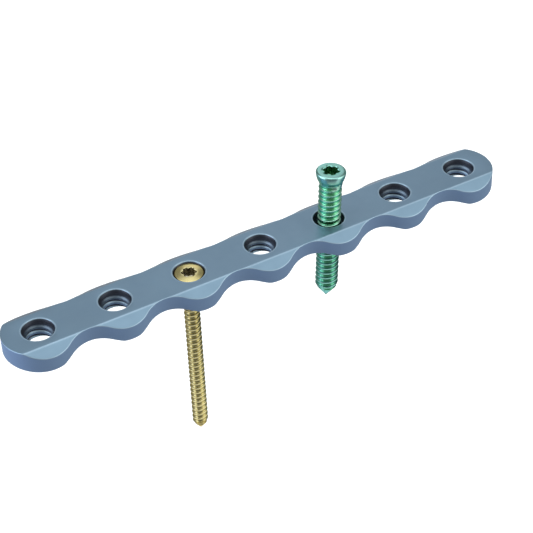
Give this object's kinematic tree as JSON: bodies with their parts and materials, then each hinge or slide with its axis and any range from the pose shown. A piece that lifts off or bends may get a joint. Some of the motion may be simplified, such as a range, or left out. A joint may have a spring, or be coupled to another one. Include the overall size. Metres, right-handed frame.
{
  "type": "orthopedic bone plate",
  "caption": "Straight scalloped bone plate with round countersunk screw holes, a seated cortex screw and a half-driven locking screw.",
  "frame": {"origin": "on the axis of the plate's middle hole, at the plane of the lowest edges of the plate's hollow underside, where it meets the bone", "axes": "+X along the plate from the cortex screw towards the locking screw, +Y across it, +Z out of the plate's top face, away from the bone"},
  "size_m": [0.0828, 0.0108, 0.0403],
  "materials": {
    "plate_metal": "satin anodised titanium, blue-grey",
    "cortex_metal": "bright anodised titanium, gold",
    "locking_metal": "bright anodised titanium, green"
  },
  "bodies": {
    "root": {"bone_plate": "plate_metal", "cortex_screw": "cortex_metal", "locking_screw": "locking_metal"}
  },
  "joints": []
}
